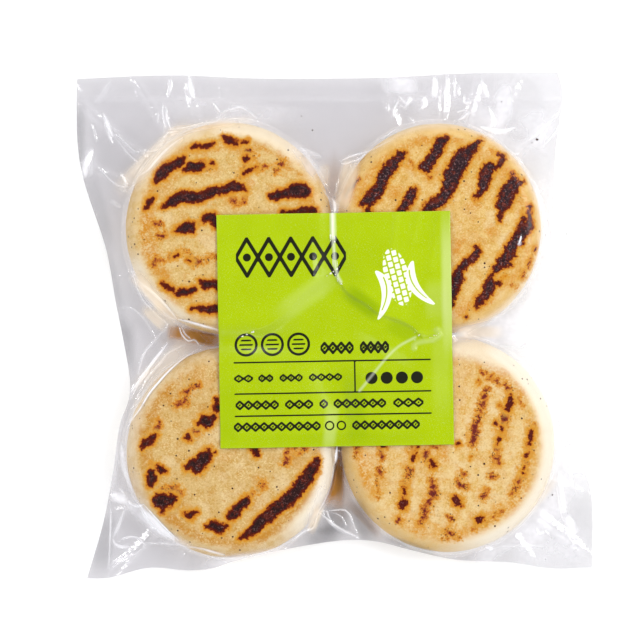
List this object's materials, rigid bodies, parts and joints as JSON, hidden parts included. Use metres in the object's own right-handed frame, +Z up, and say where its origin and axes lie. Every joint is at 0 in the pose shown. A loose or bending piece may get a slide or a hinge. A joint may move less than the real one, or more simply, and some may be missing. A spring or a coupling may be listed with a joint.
{
  "type": "vacuum pack of arepa corn cakes",
  "caption": "Clear vacuum pouch drawn tight over round griddled corn cakes laid in a square, with a square label draped over the middle where they meet.",
  "frame": {"origin": "the middle of the pack's bounds, on the surface it lies on", "axes": "+Z up through the labelled face, +Y towards the end of the pouch with the wide heat seal, +X to the right when that end is at the top"},
  "size_m": [0.2584, 0.2532, 0.0239],
  "materials": {
    "film": "gloss",
    "dough": "matte",
    "label": "satin"
  },
  "bodies": {
    "root": {"pouch": "film", "label": "label"}
  },
  "joints": []
}
